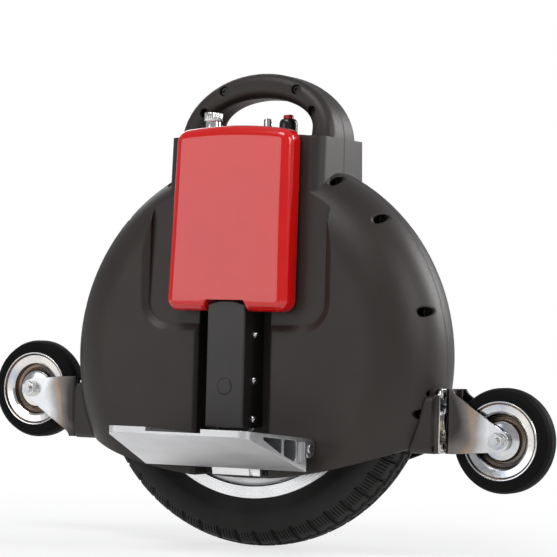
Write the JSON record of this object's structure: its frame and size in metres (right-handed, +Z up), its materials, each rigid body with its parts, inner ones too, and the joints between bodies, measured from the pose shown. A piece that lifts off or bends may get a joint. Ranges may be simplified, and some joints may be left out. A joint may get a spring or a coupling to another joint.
{
  "type": "electric unicycle",
  "caption": "Self-balancing electric unicycle: disc-shaped shell over a hub-motor wheel, arched handle, padded sides, folding pedals and swivel casters.",
  "frame": {"origin": "on the floor under the road wheel centre, in the middle plane", "axes": "+X forwards along the direction of travel, +Y to the far side along the wheel axle, +Z up"},
  "size_m": [0.6, 0.34, 0.4498],
  "materials": {
    "arm_cover": "black moulding",
    "battery": "shrink-wrapped cells",
    "black_gloss": "black bezel",
    "board": "circuit board",
    "chrome": "nickel plated",
    "copper": "laminated iron with windings",
    "grip": "grip sheet",
    "hanger_arm": "machined aluminium",
    "leg_pad": "glossy red skin over foam",
    "lens": "lamp lens",
    "motor_cover": "turned aluminium",
    "pad_backing": "black moulding",
    "pedal": "satin cast aluminium",
    "red": "red cap",
    "screws": "zinc-plated steel",
    "shell": "fine textured black moulding",
    "steel": "bright steel",
    "tyre": "black rubber",
    "zinc": "bright zinc plate"
  },
  "bodies": {
    "chassis": {"axle": "steel", "axle_nuts": "steel", "button_bezel": "black_gloss", "charge_socket": "chrome", "controller_board": "board", "deck_panel": "black_gloss", "far_arm_cover": "arm_cover", "far_arm_plug": "arm_cover", "far_arm_screws": "steel", "far_battery_pack": "battery", "far_hanger_arm": "hanger_arm", "far_leg_pad": "leg_pad", "far_pad_backing": "pad_backing", "far_shell": "shell", "front_caster_plate": "zinc", "front_caster_plate_bolts": "zinc", "front_caster_saddle": "shell", "led_bezel": "chrome", "led_lens": "lens", "near_arm_cover": "arm_cover", "near_arm_plug": "arm_cover", "near_arm_screws": "steel", "near_battery_pack": "battery", "near_hanger_arm": "hanger_arm", "near_leg_pad": "leg_pad", "near_pad_backing": "pad_backing", "near_shell": "shell", "rear_caster_plate": "zinc", "rear_caster_plate_bolts": "zinc", "rear_caster_saddle": "shell", "shell_screws": "screws", "stator": "copper"},
    "power_button": {"button_cap": "red"},
    "charge_cap": {"charge_cap": "chrome"},
    "wheel": {"far_bearing": "steel", "far_motor_cover": "motor_cover", "magnet_ring": "steel", "motor_cover_screws": "steel", "near_bearing": "steel", "near_motor_cover": "motor_cover", "rim": "motor_cover", "tyre": "tyre", "valve_stem": "steel"},
    "far_pedal": {"far_pedal": "pedal", "far_pedal_grip": "grip", "far_pedal_pin": "steel"},
    "front_caster_fork": {"front_caster_axle_bolt": "zinc", "front_caster_fork": "zinc"},
    "front_caster_wheel": {"front_caster_hub": "zinc", "front_caster_tyre": "tyre"},
    "near_pedal": {"near_pedal": "pedal", "near_pedal_grip": "grip", "near_pedal_pin": "steel"},
    "rear_caster_fork": {"rear_caster_axle_bolt": "zinc", "rear_caster_fork": "zinc"},
    "rear_caster_wheel": {"rear_caster_hub": "zinc", "rear_caster_tyre": "tyre"}
  },
  "joints": [
    {"name": "wheel_spin", "type": "hinge", "parent": "chassis", "child": "wheel", "pos_m": [0, 0, 0.178], "axis": [0, 1, 0], "continuous": true},
    {"name": "near_pedal_fold", "type": "hinge", "parent": "chassis", "child": "near_pedal", "pos_m": [0, -0.07, 0.098], "axis": [-1, 0, 0], "range_deg": [0, 80]},
    {"name": "far_pedal_fold", "type": "hinge", "parent": "chassis", "child": "far_pedal", "pos_m": [0, 0.07, 0.098], "axis": [1, 0, 0], "range_deg": [0, 80]},
    {"name": "front_caster_swivel", "type": "hinge", "parent": "chassis", "child": "front_caster_fork", "pos_m": [0.2, 0, 0.126], "axis": [1, 0, 0], "continuous": true},
    {"name": "rear_caster_swivel", "type": "hinge", "parent": "chassis", "child": "rear_caster_fork", "pos_m": [-0.2, 0, 0.126], "axis": [1, 0, 0], "continuous": true},
    {"name": "front_caster_spin", "type": "hinge", "parent": "front_caster_fork", "child": "front_caster_wheel", "pos_m": [0.252, 0, 0.11], "axis": [0, 1, 0], "continuous": true},
    {"name": "rear_caster_spin", "type": "hinge", "parent": "rear_caster_fork", "child": "rear_caster_wheel", "pos_m": [-0.252, 0, 0.142], "axis": [0, 1, 0], "continuous": true},
    {"name": "power_button_press", "type": "slide", "parent": "chassis", "child": "power_button", "axis": [0, 0, -1], "range_m": [0, 0.003], "stiffness_N_per_m": 300},
    {"name": "charge_cap_lift", "type": "slide", "parent": "chassis", "child": "charge_cap", "axis": [0, 0, 1], "range_m": [0, 0.03]}
  ]
}
